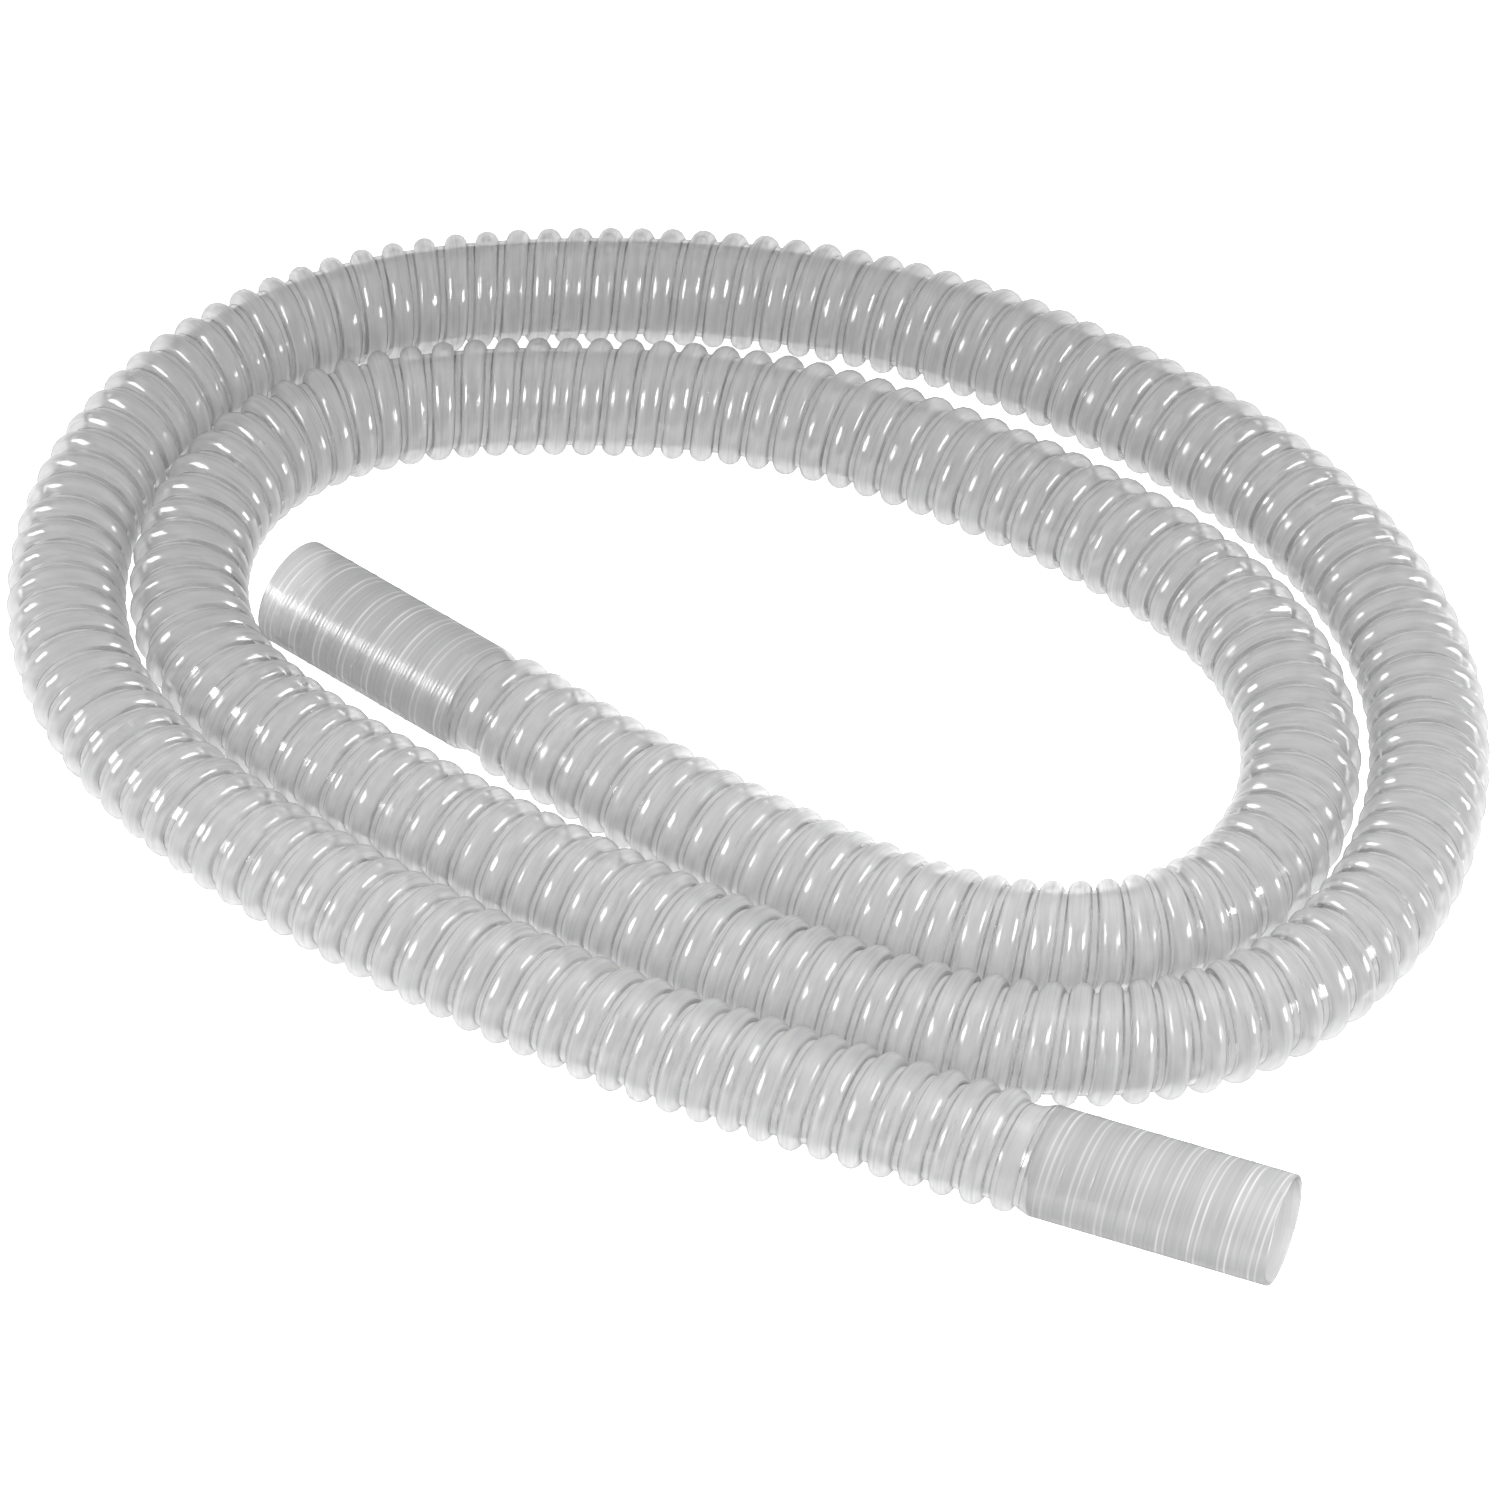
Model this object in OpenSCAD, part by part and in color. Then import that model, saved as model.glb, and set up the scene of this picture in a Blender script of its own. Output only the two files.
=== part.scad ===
// Spiral-ribbed transfer hose with a smooth cuff at each end, laid flat in a loose spiral.
// Millimetres. +Z is up, the floor is z = 0, and the origin is under the middle of the spiral.

/* [Hose] */
// Diameter over the rib
rib_d = 45; // [43.5:0.1:45]
// Outer diameter of the wall between two turns of the rib
wall_d = 37.2; // [34:0.1:38]
// Thickness of the wall between two turns of the rib
wall_t = 1.3; // [0.8:0.1:2.5]
// Turns of the rib in this solid, which are fewer and wider than the real ones
rib_turns = 180; // [100:1:185]
// Depth of the flat that each turn of the rib has where it lies on the floor
flat_cut = 0.5; // [0.2:0.1:1.2]

/* [Cuffs] */
// Inner diameter of a cuff, which slips over a 38 mm spigot
cuff_bore = 38.4; // [36:0.1:40]
// Thickness of a cuff's wall
cuff_wall = 1.4; // [1:0.1:2.5]
// Length of a cuff, from the end of the ribbed wall to the mouth
cuff_length = 90; // [40:1:91]
// Thickness of the step inside a cuff that the ribbed wall is welded to
step_t = 2; // [1:0.1:4]

/* [Hidden] */

// The middle line of the hose, seen from above, from the outer cuff to the inner one.
// A smooth curve runs close to these points, and its ends are straight.
ROUTE = [
    [178, -233], [108, -206], [38, -179], [-32, -152], [-99, -114], [-161, -72], [-221, -22],
    [-258, 45], [-252, 125], [-211, 191], [-143, 230], [-68, 237], [10, 234], [82, 213],
    [146, 175], [206, 127], [247, 62], [259, -14], [237, -91], [181, -147],
    [101, -157], [14, -120], [-74, -71], [-162, -9], [-215, 46], [-204, 134], [-140, 175],
    [-62, 177], [12, 172], [82, 140], [146, 101], [201, 47], [213, -32], [169, -102],
    [88, -105], [24, -70], [-26, -37], [-62, -9], [-98, 19], [-134, 47]
];
// Steps that the curve takes from one of those points to the next
route_steps = 16;
// Stretch of the middle line that its direction is measured on
way_span = 1;
// Shortest stretch along the hose between two places that are kept clear of each other
apart = 4 * rib_d;

// Sides of the hose's section, one of which faces the floor
sides = 8;
// Angle between two sides
side_a = 360 / sides;
// Corner radius of a section, for a radius of 1 across its flats
corner = 1 / cos(side_a / 2);
// Outer diameter of a cuff
cuff_d = cuff_bore + 2 * cuff_wall;
// Height of the middle line over the floor, on which the rib lies, or a cuff that is thicker
axis_z = max(rib_d / 2 - flat_cut, cuff_d / 2);
// Inner diameter of the ribbed wall
hose_bore = wall_d - 2 * wall_t;
// Plain stretch between an end of the hose and the rib
rib_lead = 1;
// Part of a turn in which the rib rises to its full height
rib_rise = 0.5;

// Radius of the rounded rim at a cuff's mouth
rim_r = cuff_wall / 2;
// Steps that the rounded rim is drawn in
rim_steps = 8;
// Length of a cuff's bore
bore_length = cuff_length - step_t - rim_r;

// A point of the curve, between points i + 1 and i + 2 of the route, for t from 0 to 1
function blend(i, t) = (
    pow(1 - t, 3) * ROUTE[i]
    + (3 * pow(t, 3) - 6 * pow(t, 2) + 4) * ROUTE[i + 1]
    + (-3 * pow(t, 3) + 3 * pow(t, 2) + 3 * t + 1) * ROUTE[i + 2]
    + pow(t, 3) * ROUTE[i + 3]
) / 6;

spans = len(ROUTE) - 3;
last = spans * route_steps;
curve = [
    for (k = [0:last])
        let (i = min(floor(k / route_steps), spans - 1))
            blend(i, k / route_steps - i)
];
// Length of the curve up to each of its points
run = [
    for (k = 0, s = 0; k <= last; s = s + norm(curve[min(k + 1, last)] - curve[k]), k = k + 1) s
];
hose_l = run[last];
x_table = [for (k = [0:last]) [run[k], curve[k].x]];
y_table = [for (k = [0:last]) [run[k], curve[k].y]];

// Place of the middle line at length s from the outer cuff, and the way it runs there
function place(s) = [lookup(s, x_table), lookup(s, y_table)];
function way(s) =
    let (d = place(s + way_span / 2) - place(s - way_span / 2))
        d / norm(d);

// Corner n of the hose's section at length s, with radius r across the flats.
// Corners are counted from the top over the left side, as seen along the hose.
// None lies below the floor.
function corner_at(s, n, r) =
    let (
        c = place(s),
        d = way(s),
        a = (n + 0.5) * side_a,
        left = r * corner * sin(a),
        up = r * corner * cos(a)
    )
    [c.x - d.y * left, c.y + d.x * left, max(0, axis_z + up)];

// The rib is one left-handed helix. Its crest and the valley beside it are lines of points,
// one for each corner that they pass, and each moves on by a pitch in a turn.
crest_n = rib_turns * sides;
pitch = (hose_l - 2 * rib_lead) / (rib_turns + 1);
function crest_s(n) = rib_lead + pitch * (n / sides + 0.5);
function valley_s(n) = crest_s(n) + pitch / 2;
function crest_r(n) =
    let (rise = min(1, n / sides / rib_rise, (crest_n - n) / sides / rib_rise))
        wall_d / 2 + (rib_d - wall_d) / 2 * rise;

hose_points = [
    for (n = [-sides:crest_n]) corner_at(valley_s(n), n, wall_d / 2),
    for (n = [0:crest_n]) corner_at(crest_s(n), n, crest_r(n)),
    for (s = [0, hose_l], n = [0:sides - 1]) corner_at(s, n, wall_d / 2),
    for (k = [0:rib_turns], n = [0:sides - 1])
        corner_at(hose_l * k / rib_turns, n, hose_bore / 2)
];

// Where each of those points is in the list: on the valley line, on the crest line,
// on the wall's outside at the outer and inner end, and on ring k of the bore
function valley(n) = n + sides;
function crest(n) = valley(crest_n) + 1 + n;
function outer_end(n) = crest(crest_n) + 1 + n % sides;
function inner_end(n) = outer_end(n) + sides;
function bore(k, n) = crest(crest_n) + 1 + (k + 2) * sides + n % sides;

// Two triangles that fill four points in a ring
function quad(a, b, c, d) = [[a, b, c], [a, c, d]];
// Triangles from point a to each stretch of a line of points
function fan(a, line) = [for (k = [1:len(line) - 1]) [a, line[k - 1], line[k]]];

hose_faces = [
    // Flanks of the rib
    for (n = [0:crest_n - 1])
        each quad(valley(n - sides), valley(n - sides + 1), crest(n + 1), crest(n)),
    for (n = [0:crest_n - 1])
        each quad(crest(n), crest(n + 1), valley(n + 1), valley(n)),
    // Plain wall from the outer end to the start of the rib
    for (n = [0:sides - 2])
        each quad(outer_end(n), outer_end(n + 1), valley(n - sides + 1), valley(n - sides)),
    each fan(outer_end(sides - 1), [outer_end(0), valley(-sides), crest(0), valley(0), valley(-1)]),
    // Plain wall from the end of the rib to the inner end
    for (n = [1:sides - 1])
        each quad(
            valley(crest_n - sides + n), valley(crest_n - sides + n + 1),
            inner_end(n + 1), inner_end(n)
        ),
    each fan(inner_end(1), [
        inner_end(0), valley(crest_n), crest(crest_n),
        valley(crest_n - sides), valley(crest_n - sides + 1)
    ]),
    // Bore
    for (k = [0:rib_turns - 1], n = [0:sides - 1])
        each quad(bore(k, n), bore(k + 1, n), bore(k + 1, n + 1), bore(k, n + 1)),
    // Ring of wall at each end
    for (n = [0:sides - 1])
        each quad(outer_end(n + 1), outer_end(n), bore(0, n), bore(0, n + 1)),
    for (n = [0:sides - 1])
        each quad(inner_end(n), inner_end(n + 1), bore(rib_turns, n + 1), bore(rib_turns, n))
];

module ribbed_hose() {
    color([0.78, 0.79, 0.8, 0.7])
        polyhedron(points = hose_points, faces = hose_faces);
}

// A smooth cuff that stands on the end of the ribbed wall, with its mouth up
module cuff() {
    rotate_extrude($fn = 96)
        polygon([
            [hose_bore / 2, 0],
            [cuff_d / 2, 0],
            for (k = [0:rim_steps])
                let (a = 180 * k / rim_steps)
                    [(cuff_d - cuff_wall) / 2 + rim_r * cos(a), cuff_length - rim_r + rim_r * sin(a)],
            [cuff_bore / 2, step_t],
            [hose_bore / 2, step_t]
        ]);
}

// Puts a cuff's foot on the end of the hose at length s, with its mouth pointing along d
module at_end(s, d) {
    translate([place(s).x, place(s).y, axis_z])
        rotate([0, 0, atan2(d.y, d.x)])
            rotate([0, 90, 0])
                children();
}

module outer_cuff() {
    color([0.8, 0.8, 0.81, 0.7])
        at_end(0, -way(0))
            cuff();
}

module inner_cuff() {
    color([0.8, 0.8, 0.81, 0.7])
        at_end(hose_l, way(hose_l))
            cuff();
}

// Least gap of the hose to itself, measured on the points of its middle line
self_gap = min([
    for (i = [0:last], j = [i:last])
        if (run[j] - run[i] > apart) norm(curve[j] - curve[i])
]) - rib_d;
echo(str("Least gap of the hose to itself: ", self_gap, " mm"));
echo(str("Length of the ribbed hose: ", hose_l, " mm, and of a cuff's bore: ", bore_length, " mm"));

ribbed_hose();
outer_cuff();
inner_cuff();
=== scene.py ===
"""Dresses a spiral-ribbed transfer hose: the ribbed wall, a cuff at each end, and a plain stage."""

import math

import bpy
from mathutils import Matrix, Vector


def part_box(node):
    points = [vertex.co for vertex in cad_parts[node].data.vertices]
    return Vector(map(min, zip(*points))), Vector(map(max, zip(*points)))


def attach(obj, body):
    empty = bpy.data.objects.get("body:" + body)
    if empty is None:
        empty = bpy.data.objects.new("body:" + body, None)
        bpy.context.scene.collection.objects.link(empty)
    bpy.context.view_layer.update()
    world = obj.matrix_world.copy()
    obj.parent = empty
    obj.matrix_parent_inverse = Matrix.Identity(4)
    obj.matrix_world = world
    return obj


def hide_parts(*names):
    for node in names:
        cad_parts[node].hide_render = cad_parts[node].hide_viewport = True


bl_info = {
    "name": "Ribbed Transfer Hose",
    "version": (1, 0, 0),
    "blender": (4, 5, 0),
    "location": "3D View > Sidebar > Hose",
    "description": "Builds a clear spiral-ribbed hose with two plain cuffs, and a stage for it",
    "category": "Add Mesh",
}

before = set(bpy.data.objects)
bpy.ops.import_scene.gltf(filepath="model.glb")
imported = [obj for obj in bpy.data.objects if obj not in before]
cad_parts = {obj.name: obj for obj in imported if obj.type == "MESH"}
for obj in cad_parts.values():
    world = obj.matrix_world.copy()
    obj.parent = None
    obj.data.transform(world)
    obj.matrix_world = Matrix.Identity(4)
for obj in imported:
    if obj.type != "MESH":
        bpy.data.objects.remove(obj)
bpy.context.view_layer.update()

MM = 0.001

# The middle line of the hose seen from above, in millimetres, from the outer cuff to the inner
# one. A smooth curve runs close to these points, and its ends are straight.
ROUTE = [
    (178, -233), (108, -206), (38, -179), (-32, -152), (-99, -114), (-161, -72), (-221, -22),
    (-258, 45), (-252, 125), (-211, 191), (-143, 230), (-68, 237), (10, 234), (82, 213),
    (146, 175), (206, 127), (247, 62), (259, -14), (237, -91), (181, -147),
    (101, -157), (14, -120), (-74, -71), (-162, -9), (-215, 46), (-204, 134), (-140, 175),
    (-62, 177), (12, 172), (82, 140), (146, 101), (201, 47), (213, -32), (169, -102),
    (88, -105), (24, -70), (-26, -37), (-62, -9), (-98, 19), (-134, 47),
]
ROUTE_STEPS = 32  # steps that the curve takes from one of those points to the next
WAY_REACH = 2 * MM  # how far to each side of a place the hose's direction is taken from
BEND_REACH = 8 * MM  # the same for how fast it turns


# ---------------------------------------------------------------------------------------------
# The hose's middle line
# ---------------------------------------------------------------------------------------------


class MiddleLine:
    """The line through the middle of the hose, with straight stretches beyond both its ends."""

    def __init__(self, height):
        self.height = height
        self.points = self.curve_points()
        self.runs = [0.0]
        for a, b in zip(self.points, self.points[1:]):
            self.runs.append(self.runs[-1] + (b - a).length)
        self.length = self.runs[-1]

    def curve_points(self):
        """Points of a uniform cubic B-spline over the route, in metres."""
        route = [Vector((x, y)) * MM for x, y in ROUTE]
        points = []
        for i in range(len(route) - 3):
            for k in range(ROUTE_STEPS):
                points.append(self.blend(route[i : i + 4], k / ROUTE_STEPS))
        points.append(self.blend(route[-4:], 1))
        return points

    @staticmethod
    def blend(p, t):
        """The point at t, from 0 to 1, of the stretch that these four route points shape."""
        return (
            (1 - t) ** 3 * p[0]
            + (3 * t**3 - 6 * t**2 + 4) * p[1]
            + (-3 * t**3 + 3 * t**2 + 3 * t + 1) * p[2]
            + t**3 * p[3]
        ) / 6

    def at(self, s):
        """The place at length s from the outer end, seen from above."""
        low, high = 0, len(self.runs) - 1
        while high - low > 1:
            mid = (low + high) // 2
            if self.runs[mid] <= s:
                low = mid
            else:
                high = mid
        part = (s - self.runs[low]) / (self.runs[high] - self.runs[low])
        return self.points[low].lerp(self.points[high], part)

    def way(self, s):
        """The direction of the line at length s."""
        s = min(max(s, 0), self.length)
        before, after = max(s - WAY_REACH, 0), min(s + WAY_REACH, self.length)
        return (self.at(after) - self.at(before)).normalized()

    def bend(self, s):
        """How fast the line turns to the left at length s, in radians per metre."""
        before, after = self.way(s - BEND_REACH), self.way(s + BEND_REACH)
        return before.cross(after) / (2 * BEND_REACH)

    def place(self, s, angle, radius):
        """A point at length s and this radius, at an angle from the top over the left side.

        It never lies under the floor.
        """
        c, d = self.at(s), self.way(s)
        side = radius * math.sin(angle)
        up = self.height + radius * math.cos(angle)
        return Vector((c.x - d.y * side, c.y + d.x * side, max(up, 0)))


# ---------------------------------------------------------------------------------------------
# Meshes that are wound along the middle line
# ---------------------------------------------------------------------------------------------

END_LEAD = 1 * MM  # plain stretch between a tube's end and the start of its winding
RISE = 0.5  # part of a turn in which what is wound rises out of the plain tube
SHARP = math.radians(60)  # edges over this angle are shaded sharp


def smooth(t):
    """0 below 0, 1 above 1, and an even rise between."""
    t = min(max(t, 0), 1)
    return t * t * (3 - 2 * t)


class WoundTube:
    """A tube whose outside is one strip, wound left-handed along the hose's middle line.

    The strip is a grid: steps round the tube one way, and the points of its cross-section the
    other. A plain strip at each end takes it to a flat ring. The inside is a row of rings.
    section gives the (part of the pitch, height) points across the strip at a length and an
    angle, and radius gives the outer radius at a length, for a height.
    """

    def __init__(self, line, start, end, pitch, steps, section, radius):
        self.line, self.start, self.end = line, start, end
        self.pitch, self.steps = pitch, steps
        self.section, self.radius = section, radius
        self.last = round(((end - start - 2 * END_LEAD) / pitch - 1) * steps)
        self.points, self.faces, self.ways = [], [], []

    def edge(self, i):
        """Length along the tube at which the strip's edge has made i steps."""
        return self.start + END_LEAD + self.pitch * i / self.steps

    def across(self, i):
        """The (length along the tube, height) points across the strip at step i."""
        rise = smooth(i / self.steps / RISE) * smooth((self.last - i) / self.steps / RISE)
        section = self.section(self.edge(i) + self.pitch / 2, 2 * math.pi * i / self.steps)
        return [(self.edge(i) + part * self.pitch, height * rise) for part, height in section]

    def add(self, s, i, radius):
        """A point at length s, at the angle of step i. Returns its number."""
        self.points.append(self.line.place(s, 2 * math.pi * i / self.steps, radius))
        return len(self.points) - 1

    def face(self, corners):
        """A face through (point number, length along the tube, step) corners."""
        self.faces.append([c[0] for c in corners])
        for _, s, i in corners:
            turn = (s - self.start - END_LEAD) / self.pitch - i / self.steps
            self.ways.append((s, turn))

    def strip(self):
        """The wound strip itself. Returns the (number, length) of its points at each step."""
        rows = []
        for i in range(self.last + self.steps + 1):
            points = self.across(i)[:-1] if i <= self.last else [(self.edge(i), 0)]
            rows.append([(self.add(s, i, self.radius(s, height)), s) for s, height in points])
        for i in range(self.last):
            here = rows[i] + [rows[i + self.steps][0]]
            there = rows[i + 1] + [rows[i + 1 + self.steps][0]]
            for a, b, c, d in zip(here, here[1:], there[1:], there):
                self.face([(*a, i), (*b, i), (*c, i + 1), (*d, i + 1)])
        return rows

    def end_strip(self, rows, ring, at_start):
        """The plain strip between the wound strip's edge and the ring of points at an end."""
        first = 0 if at_start else self.last
        flat = self.start if at_start else self.end
        whole = self.edge(self.steps) - self.start
        shares = [(s - self.start) / whole for _, s in rows[0]]
        columns = []
        for n in range(self.steps + 1):
            i = first + n
            corner = (ring[i % self.steps], flat)
            if at_start and n == self.steps:
                column = [corner, *rows[0], rows[i][0]]
            elif not at_start and n == 0:
                column = [*rows[i], rows[i + self.steps][0], corner]
            elif n in (0, self.steps):
                column = [corner, rows[i][0]]
            else:
                lengths = [flat + (self.edge(i) - flat) * share for share in shares]
                between = [(self.add(s, i, self.radius(s, 0)), s) for s in lengths]
                column = [corner, *between, rows[i][0]]
            if not at_start and n > 0:
                column = column[::-1]
            columns.append([(*point, i) for point in column])
        for a, b in zip(columns, columns[1:]):
            self.fill(a, b, at_start)

    def fill(self, a, b, at_start):
        """Faces between two columns of points that run the same way along the tube."""
        if len(a) == len(b):
            for k in range(len(a) - 1):
                self.face([a[k], a[k + 1], b[k + 1], b[k]])
        elif at_start:
            self.face([a[0], a[1], b[1], b[0]])
            for k in range(1, len(b) - 1):
                self.face([a[1], b[k + 1], b[k]])
        else:
            for k in range(len(a) - 2):
                self.face([a[k], a[k + 1], b[0]])
            self.face([a[-2], a[-1], b[1], b[0]])

    def build(self, name, inside):
        """The mesh object. inside is a list of (length, radius) from the far end to the start."""
        rows = self.strip()
        start_ring = self.ring(self.start, self.radius(self.start, 0))
        end_ring = self.ring(self.end, self.radius(self.end, 0))
        self.end_strip(rows, start_ring, True)
        self.end_strip(rows, end_ring, False)
        before, at = end_ring, self.end
        for s, radius in inside:
            ring = self.ring(s, radius)
            self.join(before, at, ring, s)
            before, at = ring, s
        self.join(before, at, start_ring, self.start)
        return self.mesh(name)

    def ring(self, s, radius):
        """A ring of points at length s."""
        return [self.add(s, i, radius) for i in range(self.steps)]

    def join(self, a, s, b, t):
        """A band of faces between two rings of points."""
        for i in range(self.steps):
            k = (i + 1) % self.steps
            self.face([(a[i], s, i), (b[i], t, i), (b[k], t, i + 1), (a[k], s, i + 1)])

    def mesh(self, name):
        """The mesh object. Its UV map holds the length along the hose and the turn of the winding."""
        mesh = bpy.data.meshes.new(name)
        mesh.from_pydata(self.points, [], self.faces)
        way = mesh.uv_layers.new(name="way_along")
        for loop, s_and_turn in zip(way.data, self.ways):
            loop.uv = s_and_turn
        mesh.validate()
        mesh.shade_smooth()
        mesh.set_sharp_from_angle(angle=SHARP)
        piece = bpy.data.objects.new(name, mesh)
        bpy.context.scene.collection.objects.link(piece)
        return piece


# ---------------------------------------------------------------------------------------------
# Sizes and colours
# ---------------------------------------------------------------------------------------------


def linear(hex_colour):
    """The linear RGBA of an sRGB colour written as #rrggbb."""
    parts = [int(hex_colour[k : k + 2], 16) / 255 for k in (1, 3, 5)]
    return [c / 12.92 if c <= 0.04045 else ((c + 0.055) / 1.055) ** 2.4 for c in parts] + [1]


def length(name, description, millimetres):
    """A size that the user can change."""
    return bpy.props.FloatProperty(
        name=name,
        description=description,
        default=millimetres * MM,
        min=0,
        precision=4,
        subtype="DISTANCE",
        unit="LENGTH",
    )


class HoseSizes(bpy.types.PropertyGroup):
    """Sizes of the ribbed wall and its rib."""

    rib_diameter: length("Rib diameter", "Diameter over the rib", 45)
    wall_diameter: length("Wall diameter", "Outer diameter of the wall between two turns", 37.2)
    bore: length("Bore", "Inner diameter of the ribbed wall", 34.6)
    rib_pitch: length("Rib pitch", "Distance from one turn of the rib to the next", 11.6)
    rib_width: length("Rib width", "Width of the rib at its foot", 8.6)
    fade: length("Fade", "Stretch in which a cuff's wall narrows to the ribbed wall", 7)


class CuffSizes(bpy.types.PropertyGroup):
    """Sizes of the cuffs."""

    diameter: length("Cuff diameter", "Outer diameter of a cuff", 41.2)
    bore: length("Cuff bore", "Inner diameter of a cuff", 38.4)
    length: length("Cuff length", "Length of a cuff, from the ribbed wall to the mouth", 90)
    step: length("Step", "Thickness of the step inside a cuff", 2)
    seam_height: length("Seam height", "Height of the wound seam over a cuff's surface", 0.15)
    seam_width: length("Seam width", "Width of the wound seam on a cuff", 0.9)


def colour(name, description, hex_colour):
    """A property for a colour, with its default as #rrggbb."""
    return bpy.props.FloatVectorProperty(
        name=name,
        description=description,
        default=linear(hex_colour)[:3],
        subtype="COLOR",
        min=0,
        max=1,
    )


class WallColours(bpy.types.PropertyGroup):
    """Colours of the ribbed wall."""

    body: colour("Wall", "The milky body of the rib and of the wall beside it", "#efefef")
    # painted shade: the foot line darkens the crease at both feet of the rib, and its dashes are
    # darker painted shade in it
    line: colour("Foot line", "The crisp line along both feet of the rib", "#b4b4b4")
    dash: colour("Dash", "The short dashes in that line", "#747474")
    tint: colour("Wall tint", "What light keeps where it goes straight through", "#e7e7e7")


class CuffColours(bpy.types.PropertyGroup):
    """Colours of the two cuffs."""

    body: colour("Cuff", "The milky body of the cuff", "#c8c8c8")
    # painted highlights: the arcs are painted light along the winding, and the flecks are painted
    # glints in them
    line: colour("Arc", "The thin arcs that run with the winding", "#eaeaea")
    dash: colour("Fleck", "The flecks in those arcs", "#ffffff")
    tint: colour("Cuff tint", "What light keeps where it goes straight through", "#e4e4e4")


class StageColours(bpy.types.PropertyGroup):
    """Colour of the floor."""

    floor: colour("Floor", "Colour of the floor", "#e4e4e4")


# ---------------------------------------------------------------------------------------------
# Materials
# ---------------------------------------------------------------------------------------------


def add_node(tree, kind, settings=None, inputs=None):
    """Adds a node. inputs maps a socket's name or number to a value or to another node's socket."""
    node = tree.nodes.new(kind)
    for key, value in (settings or {}).items():
        setattr(node, key, value)
    for key, value in (inputs or {}).items():
        if isinstance(value, bpy.types.NodeSocket):
            tree.links.new(value, node.inputs[key])
        else:
            node.inputs[key].default_value = value
    return node


# Numbers of the colour sockets of a Mix node: its two inputs and its output
MIX_A, MIX_B, MIXED = 6, 7, 2


def new_material(name):
    """An empty node material and its tree."""
    material = bpy.data.materials.new(name)
    material.use_nodes = True
    material.node_tree.nodes.clear()
    return material, material.node_tree


# The pattern on the wall, as sizes on the hose. The line at a rib's foot and its dashes are painted:
# painted shade on the ribbed wall, painted highlights on the cuffs.
PAINTED_LINE_AT = 1.276 * MM  # from the middle of the valley between two turns to the line at a rib's foot
PAINTED_LINE_CORE = 0.116 * MM  # half the width in which that line has its full strength
PAINTED_LINE_REACH = 0.58 * MM  # half the width in which it fades out
STREAK_WIDTH = 1.05 * MM  # of the drawing lines, coarser than the real ones so that they show
STREAK_RUN = 8.33 * MM  # of hose, which is 93 mm along the winding
STREAK_BAND = (0.3, 0.6)  # of the noise, from the strongest drawing line to none
STREAK_LIGHT = 0.7  # share of the body's colour that the strongest one keeps
STREAK_DEPTH = 0.2 * MM
PAINTED_DASH_RUN = 2.63 * MM  # of hose, from one dash in the foot line to the next
PAINTED_DASH_BAND = (0.55, 0.62)  # of the noise, from no dash to a full one

# What soft PVC does with light
PVC_ROUGHNESS = 0.4
PVC_IOR = 1.45
PVC_TRANSMISSION = 0.2
LIT_FROM_BEHIND = 0.45  # share of the body that shows light from its far side
SIDE_ON_BLEND = 0.3  # how soon the wall counts as seen side on
# painted shade at the outline: the body's colour darkens where the wall is seen side on
EDGE_SHADE_FROM = 0.45  # where the body starts to darken
EDGE_SHADE_KEEPS = 0.4  # share of its colour that it keeps there
SEE_THROUGH_SIDE_ON = 0.1
SHADOW_LET_THROUGH = 0.75  # share of a shadow ray that the wall lets through
GLOSS_IOR = 1.7  # a little over the plastic's, as for a wet skin


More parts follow.
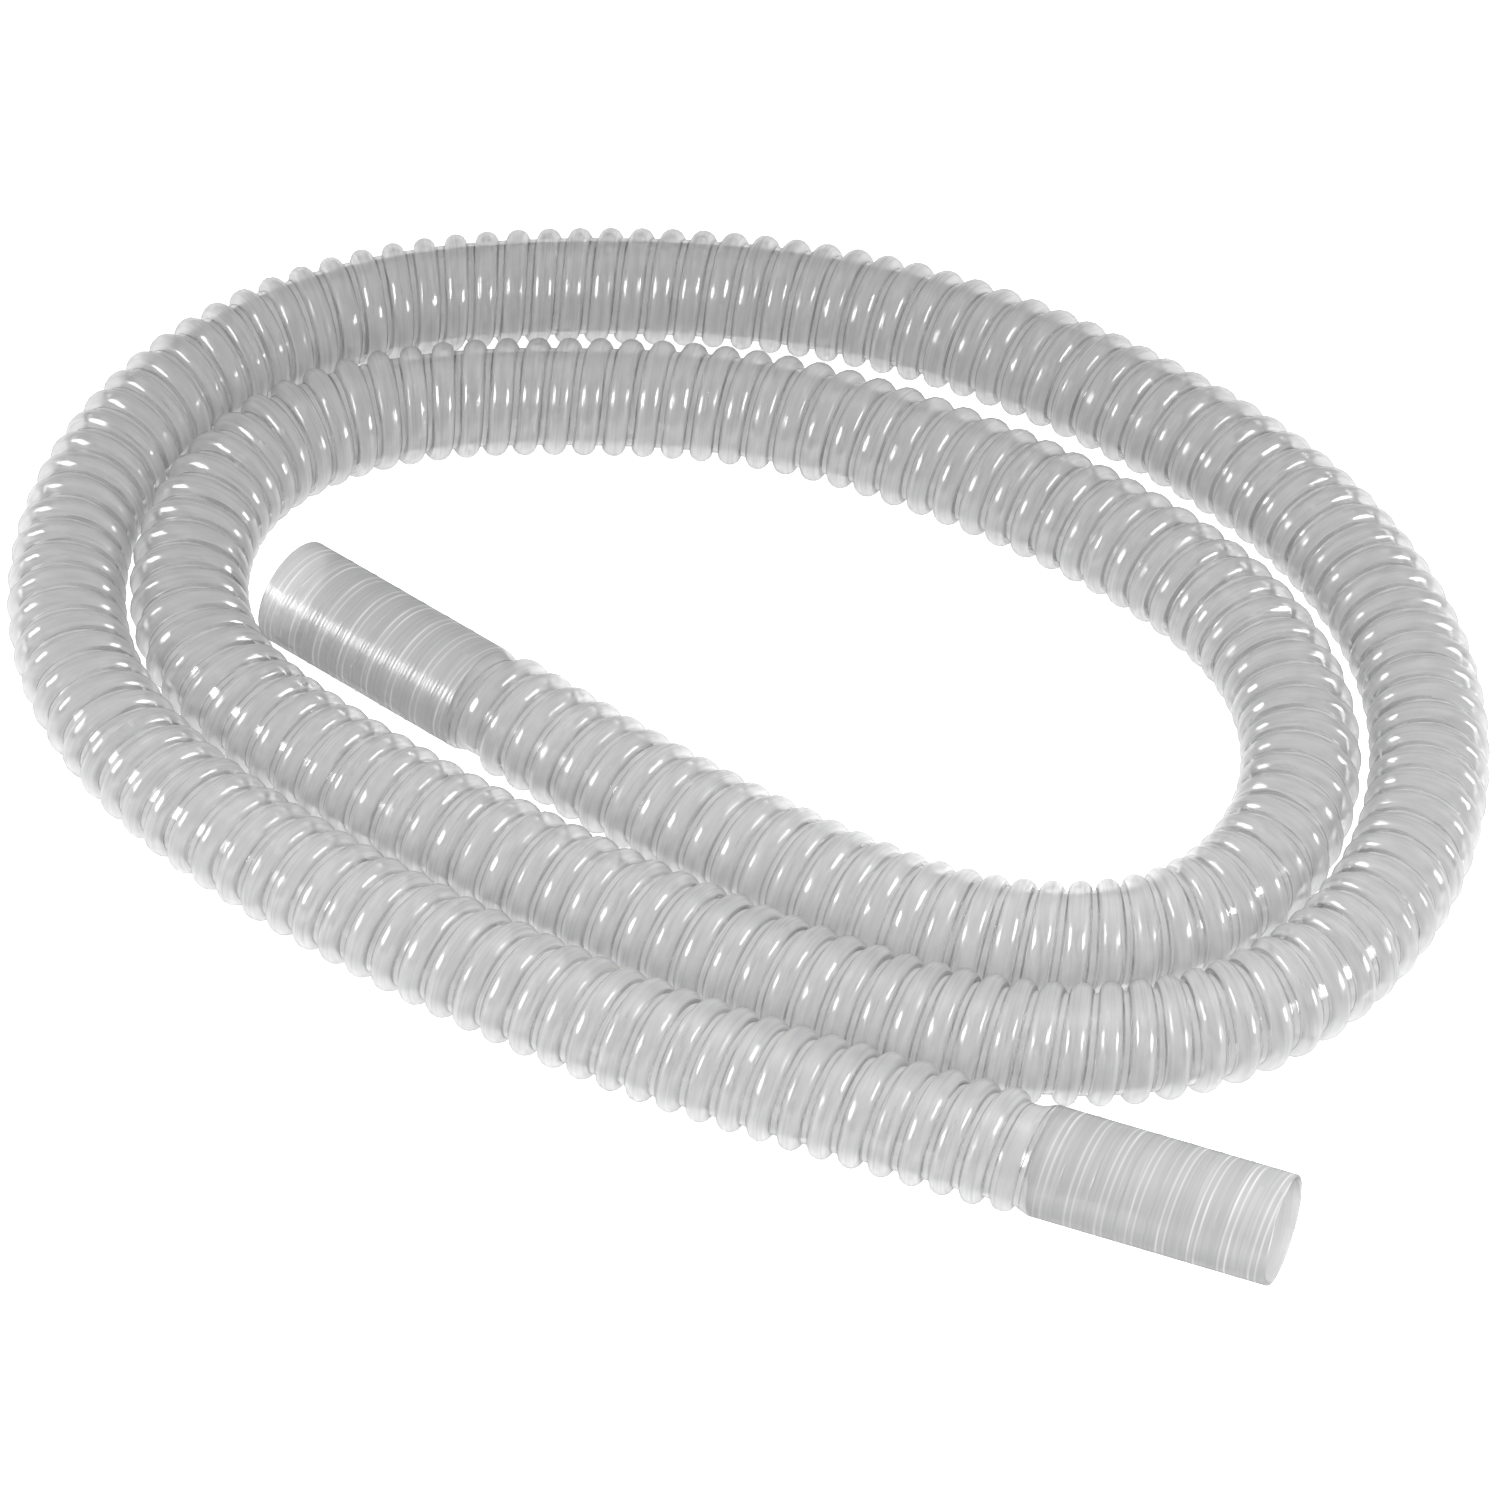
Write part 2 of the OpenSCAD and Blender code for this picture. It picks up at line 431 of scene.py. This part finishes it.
def winding_pattern(tree, pitch):
    """What runs with the winding: drawing lines in the plastic, and a painted line at the feet of
    each turn.

    Returns three sockets: how much of the body's colour there is, from 0 on the painted line at a
    rib's foot to 1 away from it, how much of a painted dash there is in that line, and the drawing
    lines.
    """
    way = add_node(tree, "ShaderNodeUVMap", {"uv_map": "way_along"})
    way = add_node(tree, "ShaderNodeSeparateXYZ", inputs={"Vector": way.outputs["UV"]})
    # a painted line runs along both feet of the rib: painted shade on the ribbed wall, a painted
    # highlight on a cuff
    from_valley = add_node(
        tree, "ShaderNodeMath", {"operation": "PINGPONG"}, {0: way.outputs["Y"], 1: 0.5}
    )
    from_painted_line = add_node(
        tree,
        "ShaderNodeMath",
        {"operation": "SUBTRACT"},
        {0: from_valley.outputs[0], 1: PAINTED_LINE_AT / pitch},
    )
    from_painted_line = add_node(
        tree, "ShaderNodeMath", {"operation": "ABSOLUTE"}, {0: from_painted_line.outputs[0]}
    )
    on_body = add_node(
        tree,
        "ShaderNodeMapRange",
        {"interpolation_type": "SMOOTHSTEP"},
        {
            "Value": from_painted_line.outputs[0],
            "From Min": PAINTED_LINE_CORE / pitch,
            "From Max": PAINTED_LINE_REACH / pitch,
        },
    )
    # drawing lines run along the winding
    turn_and_length = add_node(
        tree,
        "ShaderNodeCombineXYZ",
        inputs={"X": way.outputs["Y"], "Y": way.outputs["X"]},
    )
    stretch = add_node(
        tree,
        "ShaderNodeVectorMath",
        {"operation": "MULTIPLY"},
        {0: turn_and_length.outputs[0], 1: (round(pitch / STREAK_WIDTH), round(1 / STREAK_RUN), 1)},
    )
    lines = add_node(
        tree, "ShaderNodeTexNoise", inputs={"Vector": stretch.outputs[0], "Scale": 1, "Detail": 1}
    )
    streak = add_node(
        tree,
        "ShaderNodeMapRange",
        inputs={
            "Value": lines.outputs[0],
            "From Min": STREAK_BAND[0],
            "From Max": STREAK_BAND[1],
            "To Min": STREAK_LIGHT,
        },
    )
    on_body = add_node(
        tree,
        "ShaderNodeMath",
        {"operation": "MULTIPLY"},
        {0: on_body.outputs[0], 1: streak.outputs[0]},
    )
    # short painted dashes break the painted line up: darker painted shade on the ribbed wall, white
    # painted glints on a cuff
    painted_dashes = add_node(
        tree,
        "ShaderNodeTexNoise",
        {"noise_dimensions": "1D"},
        {"W": way.outputs["X"], "Scale": round(1 / PAINTED_DASH_RUN), "Detail": 0},
    )
    painted_dashes = add_node(
        tree,
        "ShaderNodeMapRange",
        inputs={
            "Value": painted_dashes.outputs[0],
            "From Min": PAINTED_DASH_BAND[0],
            "From Max": PAINTED_DASH_BAND[1],
        },
    )
    return on_body.outputs[0], painted_dashes.outputs[0], lines.outputs[0]


def wall_colour(tree, colours, on_body, painted_dashes, side_on):
    """The wall's colour, with the painted line and dashes at the rib's feet and painted shade at the
    outline. Returns a socket.
    """
    # the painted line: painted shade on the ribbed wall, a painted highlight on a cuff, broken by
    # painted dashes
    line = add_node(
        tree,
        "ShaderNodeMix",
        {"data_type": "RGBA"},
        {"Factor": painted_dashes, MIX_A: [*colours.line, 1], MIX_B: [*colours.dash, 1]},
    )
    body = add_node(
        tree,
        "ShaderNodeMix",
        {"data_type": "RGBA"},
        {"Factor": on_body, MIX_A: line.outputs[MIXED], MIX_B: [*colours.body, 1]},
    )
    # painted shade: the body's colour darkens where the wall is seen side on, so that its outline
    # reads dark
    edge_shade = add_node(
        tree,
        "ShaderNodeMapRange",
        inputs={"Value": side_on, "From Min": EDGE_SHADE_FROM, "To Min": 1, "To Max": EDGE_SHADE_KEEPS},
    )
    body = add_node(
        tree,
        "ShaderNodeMix",
        {"data_type": "RGBA", "blend_type": "MULTIPLY"},
        {"Factor": 1, MIX_A: body.outputs[MIXED], MIX_B: edge_shade.outputs[0]},
    )
    return body.outputs[MIXED]


def milky_wall(tree, colour, tint, normal, side_on, see_through):
    """A milky body that light comes through, and a clear share. Returns a shader socket."""
    lit = add_node(
        tree,
        "ShaderNodeBsdfPrincipled",
        inputs={
            "Base Color": colour,
            "Roughness": PVC_ROUGHNESS,
            "IOR": PVC_IOR,
            "Transmission Weight": PVC_TRANSMISSION,
            "Specular IOR Level": 0.0,  # the gloss is a layer of its own
            "Normal": normal,
        },
    )
    lit_from_behind = add_node(
        tree, "ShaderNodeBsdfTranslucent", inputs={"Color": colour, "Normal": normal}
    )
    body = add_node(
        tree,
        "ShaderNodeMixShader",
        inputs={0: LIT_FROM_BEHIND, 1: lit.outputs[0], 2: lit_from_behind.outputs[0]},
    )
    through = add_node(tree, "ShaderNodeBsdfTransparent", inputs={"Color": [*tint, 1]})
    share = add_node(
        tree,
        "ShaderNodeMapRange",
        inputs={"Value": side_on, "To Min": see_through, "To Max": SEE_THROUGH_SIDE_ON},
    )
    # a shadow on the floor stays pale
    ray = add_node(tree, "ShaderNodeLightPath")
    shade = add_node(
        tree,
        "ShaderNodeMath",
        {"operation": "MULTIPLY"},
        {0: ray.outputs["Is Shadow Ray"], 1: SHADOW_LET_THROUGH},
    )
    share = add_node(
        tree, "ShaderNodeMath", {"operation": "MAXIMUM"}, {0: share.outputs[0], 1: shade.outputs[0]}
    )
    wall = add_node(
        tree,
        "ShaderNodeMixShader",
        inputs={0: share.outputs[0], 1: body.outputs[0], 2: through.outputs[0]},
    )
    return wall.outputs[0]


def under_gloss(tree, wall, normal, roughness, most):
    """Lays a wet gloss over the wall, on its outer faces only. Returns a shader socket."""
    wet = add_node(tree, "ShaderNodeFresnel", inputs={"IOR": GLOSS_IOR, "Normal": normal})
    wet = add_node(tree, "ShaderNodeMath", {"operation": "MINIMUM"}, {0: wet.outputs[0], 1: most})
    facet = add_node(tree, "ShaderNodeNewGeometry")
    wet = add_node(
        tree,
        "ShaderNodeMix",
        inputs={0: facet.outputs["Backfacing"], 2: wet.outputs[0], 3: 0},
    )
    gloss = add_node(
        tree,
        "ShaderNodeBsdfAnisotropic",
        inputs={"Color": (1, 1, 1, 1), "Roughness": roughness, "Normal": normal},
    )
    surface = add_node(
        tree, "ShaderNodeMixShader", inputs={0: wet.outputs[0], 1: wall, 2: gloss.outputs[0]}
    )
    return surface.outputs[0]


def clear_pvc(name, colours, pitch, see_through, gloss_roughness, most_gloss):
    """Soft PVC, extruded and wound: a milky grey body that light goes through, under a wet gloss.

    see_through is the clear share of a wall seen face on, and most_gloss is the gloss's limit.
    """
    material, tree = new_material(name)
    # the painted line and painted dashes at the rib's feet, and the drawing lines
    on_body, painted_dashes, lines = winding_pattern(tree, pitch)
    side_on = add_node(tree, "ShaderNodeLayerWeight", inputs={"Blend": SIDE_ON_BLEND})
    side_on = side_on.outputs["Facing"]
    colour = wall_colour(tree, colours, on_body, painted_dashes, side_on)
    bump = add_node(
        tree,
        "ShaderNodeBump",
        inputs={"Height": lines, "Strength": 1, "Distance": STREAK_DEPTH},
    )
    normal = bump.outputs[0]
    wall = milky_wall(tree, colour, colours.tint, normal, side_on, see_through)
    surface = under_gloss(tree, wall, normal, gloss_roughness, most_gloss)
    add_node(tree, "ShaderNodeOutputMaterial", inputs={"Surface": surface})
    return material


# ---------------------------------------------------------------------------------------------
# Pieces
# ---------------------------------------------------------------------------------------------

FLOOR_TO_MIDDLE = (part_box("outer_cuff")[0].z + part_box("outer_cuff")[1].z) / 2
WELD_GAP = 0.05 * MM  # between the ribbed wall and a cuff, where they are welded
RIB_STEPS = 36  # steps round the ribbed wall
CUFF_STEPS = 72  # steps round a cuff
RIB_ARC = (-90, -72, -48, -24, 0, 24, 48, 72, 90)  # degrees across a rib, where it has points
WIDEST_RIB = 0.94  # of the pitch, where a bend presses the turns together
# across a cuff's seam, in parts of half its width and of its height
SEAM = ((-1.6, 0), (-1, 0), (-0.4, 0.8), (0, 1), (0.4, 0.8), (1, 0), (1.6, 0))
RIM_ARC = (150, 120, 90, 60, 30, 0)  # degrees round a cuff's rim, from its outside to its bore


def rib_section(line, sizes):
    """The rib's cross-section. It keeps its width in a bend, and the wall beside it gives."""
    height = (sizes.rib_diameter - sizes.wall_diameter) / 2
    reach = sizes.rib_diameter / 2

    def section(s, angle):
        stretch = 1 - line.bend(s) * reach * math.sin(angle)
        half = min(sizes.rib_width / sizes.rib_pitch / stretch, WIDEST_RIB) / 2
        arc = [math.radians(a) for a in RIB_ARC]
        return [(0, 0), *((0.5 + half * math.sin(a), height * math.cos(a)) for a in arc), (1, 0)]

    return section


def wall_radius(line, sizes, cuff):
    """The ribbed wall's outer radius, which widens to a cuff's at both ends."""

    def radius(s, height):
        end = min(s, line.length - s)
        wider = (cuff.diameter - sizes.wall_diameter) / 2 * (1 - smooth(end / sizes.fade))
        return sizes.wall_diameter / 2 + max(height, wider)

    return radius


def seam_section(cuff, pitch):
    """The cross-section of the seam that winds round a cuff."""
    half = cuff.seam_width / pitch / 2
    points = [(0, 0), *((0.5 + half * x, cuff.seam_height * y) for x, y in SEAM), (1, 0)]
    return lambda s, angle: points


def replace_node(piece, node, material):
    """Puts a finished piece in the place of its CAD node."""
    piece.data.materials.append(material)
    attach(piece, "root")
    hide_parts(node)


class HOSE_OT_ribbed_wall(bpy.types.Operator):
    """Winds the ribbed wall from one cuff to the other"""

    bl_idname = "hose.ribbed_wall"
    bl_label = "Ribbed wall"

    def execute(self, context):
        sizes, cuff = context.scene.hose_sizes, context.scene.cuff_sizes
        line = MiddleLine(FLOOR_TO_MIDDLE)
        start, end = WELD_GAP, line.length - WELD_GAP
        tube = WoundTube(
            line, start, end, sizes.rib_pitch, RIB_STEPS,
            rib_section(line, sizes), wall_radius(line, sizes, cuff),
        )
        count = round(line.length / sizes.rib_pitch / 2)  # a ring in the bore every two turns
        inside = [(start + (end - start) * k / count, sizes.bore / 2) for k in range(count, -1, -1)]
        piece = tube.build("ribbed_wall", inside)
        material = clear_pvc(
            "soft_pvc_wound", context.scene.wall_colours, sizes.rib_pitch,
            see_through=0.72, gloss_roughness=0.08, most_gloss=0.24,
        )
        replace_node(piece, "ribbed_hose", material)
        return {"FINISHED"}


def make_cuff(context, name, node, at_start):
    """A cuff at the start or at the end of the hose, its foot against the ribbed wall."""
    cuff, hose = context.scene.cuff_sizes, context.scene.hose_sizes
    pitch = hose.rib_pitch
    line = MiddleLine(FLOOR_TO_MIDDLE)
    foot = 0 if at_start else line.length
    out = -1 if at_start else 1
    rim = (cuff.diameter - cuff.bore) / 4  # half the wall's thickness, so the rim is round
    mouth = foot + out * (cuff.length - rim)
    middle = (cuff.diameter + cuff.bore) / 4
    rim_arc = [math.radians(a) for a in RIM_ARC]
    arc = [(mouth + out * rim * math.sin(a), middle - rim * math.cos(a)) for a in rim_arc]
    way_on = hose.bore / 2
    ledge = foot + out * cuff.step
    step = [(ledge, cuff.bore / 2), (ledge, way_on), (foot, way_on)]
    inside = arc + step
    start, end = foot, mouth
    if at_start:
        inside, start, end = inside[::-1], mouth, foot
    tube = WoundTube(
        line, start, end, pitch, CUFF_STEPS, seam_section(cuff, pitch),
        lambda s, height: cuff.diameter / 2 + height,
    )
    piece = tube.build(name, inside)
    material = bpy.data.materials.get("soft_pvc_cuff")
    if material is None:
        material = clear_pvc(
            "soft_pvc_cuff", context.scene.cuff_colours, pitch,
            see_through=0.4, gloss_roughness=0.25, most_gloss=0.07,
        )
    replace_node(piece, node, material)


class HOSE_OT_outer_cuff(bpy.types.Operator):
    """Makes the cuff at the outer end"""

    bl_idname = "hose.outer_cuff"
    bl_label = "Outer cuff"

    def execute(self, context):
        make_cuff(context, "cuff_outer", "outer_cuff", True)
        return {"FINISHED"}


class HOSE_OT_inner_cuff(bpy.types.Operator):
    """Makes the cuff at the inner end"""

    bl_idname = "hose.inner_cuff"
    bl_label = "Inner cuff"

    def execute(self, context):
        make_cuff(context, "cuff_inner", "inner_cuff", False)
        return {"FINISHED"}


# ---------------------------------------------------------------------------------------------
# Stage
# ---------------------------------------------------------------------------------------------

CAMERA_PLACE = (2.5 * MM, -2643.5 * MM, 2899.2 * MM)
CAMERA_TILT = 42.5  # degrees from straight down
CAMERA_LENS, CAMERA_SENSOR = 253.3, 36  # millimetres: focal length, and width of the sensor
FLOOR_SIZE = 30  # metres
FLOOR_LIFT = 0.85  # light that the floor adds where it is seen directly
SURROUND = (0.15, 0.48)  # strength in front and behind, and to the left and right
FLOOR_DROP = 0.3 * MM  # of the floor's surface under the hose


def add_camera():
    """The camera, looking along +Y and down."""
    data = bpy.data.cameras.new("camera")
    data.lens, data.sensor_width = CAMERA_LENS, CAMERA_SENSOR
    data.clip_start, data.clip_end = 0.1, 60
    camera = bpy.data.objects.new("camera", data)
    camera.location = CAMERA_PLACE
    camera.rotation_euler = (math.radians(CAMERA_TILT), 0, 0)
    bpy.context.scene.collection.objects.link(camera)
    bpy.context.scene.camera = camera


def floor_material(colour):
    """Matt paper: plain white, with a lift for what is seen of it directly."""
    material, tree = new_material("matt_paper")
    paper = add_node(tree, "ShaderNodeBsdfDiffuse", inputs={"Color": [*colour, 1]})
    path = add_node(tree, "ShaderNodeLightPath")
    seen = add_node(
        tree, "ShaderNodeMath", {"operation": "MAXIMUM"},
        {0: path.outputs["Is Camera Ray"], 1: path.outputs["Is Glossy Ray"]},
    )
    seen = add_node(
        tree, "ShaderNodeMath", {"operation": "MAXIMUM"},
        {0: seen.outputs[0], 1: path.outputs["Is Transmission Ray"]},
    )
    lift = add_node(
        tree, "ShaderNodeEmission", inputs={"Color": (1, 1, 1, 1), "Strength": seen.outputs[0]}
    )
    none = add_node(tree, "ShaderNodeEmission", inputs={"Strength": 0.0})
    part = add_node(
        tree, "ShaderNodeMixShader", inputs={0: FLOOR_LIFT, 1: none.outputs[0], 2: lift.outputs[0]}
    )
    both = add_node(tree, "ShaderNodeAddShader", inputs={0: paper.outputs[0], 1: part.outputs[0]})
    add_node(tree, "ShaderNodeOutputMaterial", inputs={"Surface": both.outputs[0]})
    return material


def add_floor(colour):
    """A wide flat floor."""
    half = FLOOR_SIZE / 2
    mesh = bpy.data.meshes.new("floor")
    corners = [(-half, -half), (half, -half), (half, half), (-half, half)]
    mesh.from_pydata([(x, y, -FLOOR_DROP) for x, y in corners], [], [(0, 1, 2, 3)])
    mesh.materials.append(floor_material(colour))
    floor = bpy.data.objects.new("floor", mesh)
    bpy.context.scene.collection.objects.link(floor)


def add_lamp(name, place, aim, wide, high, power, spread=180, glint=True):
    """A soft lamp at place, pointed at aim: metres, watts, and degrees for its spread.

    With glint it shows only as a glint in what is glossy, and without it only as plain light.
    """
    data = bpy.data.lights.new(name, "AREA")
    data.shape, data.size, data.size_y, data.energy = "RECTANGLE", wide, high, power
    data.spread = math.radians(spread)
    lamp = bpy.data.objects.new(name, data)
    lamp.location = place
    lamp.rotation_euler = (Vector(aim) - Vector(place)).to_track_quat("-Z", "Y").to_euler()
    lamp.visible_glossy = glint
    lamp.visible_transmission = False
    lamp.visible_diffuse = not glint
    bpy.context.scene.collection.objects.link(lamp)


def add_world():
    """A dim white surround, brighter to the left and the right."""
    world = bpy.data.worlds.new("surround")
    bpy.context.scene.world = world
    world.use_nodes = True
    tree = world.node_tree
    tree.nodes.clear()
    way = add_node(tree, "ShaderNodeTexCoord")
    way = add_node(tree, "ShaderNodeSeparateXYZ", inputs={0: way.outputs["Generated"]})
    aside = add_node(tree, "ShaderNodeMath", {"operation": "ABSOLUTE"}, {0: way.outputs["X"]})
    light = add_node(
        tree,
        "ShaderNodeMapRange",
        inputs={"Value": aside.outputs[0], "To Min": SURROUND[0], "To Max": SURROUND[1]},
    )
    sky = add_node(
        tree,
        "ShaderNodeBackground",
        inputs={"Color": (1, 1, 1, 1), "Strength": light.outputs[0]},
    )
    add_node(tree, "ShaderNodeOutputWorld", inputs={"Surface": sky.outputs[0]})


class HOSE_OT_stage(bpy.types.Operator):
    """Makes the camera, floor, lamps and surround"""

    bl_idname = "hose.stage"
    bl_label = "Stage"

    def execute(self, context):
        add_camera()
        add_floor(context.scene.stage_colours.floor)
        add_lamp("left_lamp", (-1.9, -0.2, 0.65), (0, 0, 0), wide=0.9, high=0.8, power=28)
        add_lamp("right_lamp", (1.8, -0.6, 0.55), (0, 0, 0), wide=0.8, high=0.7, power=24)
        add_lamp(
            "front_lamp", (0, -0.7, 2), (0, -0.17, 0), wide=3, high=0.3, power=11,
            spread=36, glint=False,
        )
        add_world()
        context.scene.view_settings.view_transform = "Standard"
        return {"FINISHED"}


class HOSE_PT_panel(bpy.types.Panel):
    """Lists the hose's sizes and pieces"""

    bl_label = "Ribbed Hose"
    bl_idname = "HOSE_PT_panel"
    bl_space_type = "VIEW_3D"
    bl_region_type = "UI"
    bl_category = "Hose"

    def draw(self, context):
        scene = context.scene
        for group in GROUPS:
            box = self.layout.box()
            for name in GROUPS[group].__annotations__:
                box.prop(getattr(scene, group), name)
        for operator in OPERATORS:
            self.layout.operator(operator.bl_idname)


GROUPS = {
    "hose_sizes": HoseSizes,
    "wall_colours": WallColours,
    "cuff_sizes": CuffSizes,
    "cuff_colours": CuffColours,
    "stage_colours": StageColours,
}
OPERATORS = (HOSE_OT_stage, HOSE_OT_ribbed_wall, HOSE_OT_outer_cuff, HOSE_OT_inner_cuff)
CLASSES = (*GROUPS.values(), *OPERATORS, HOSE_PT_panel)


def register():
    for cls in CLASSES:
        bpy.utils.register_class(cls)
    for name, group in GROUPS.items():
        setattr(bpy.types.Scene, name, bpy.props.PointerProperty(type=group))


def unregister():
    for name in GROUPS:
        delattr(bpy.types.Scene, name)
    for cls in reversed(CLASSES):
        bpy.utils.unregister_class(cls)


def main():
    register()
    bpy.ops.hose.stage()
    bpy.ops.hose.ribbed_wall()
    bpy.ops.hose.outer_cuff()
    bpy.ops.hose.inner_cuff()


if __name__ == "__main__":
    main()
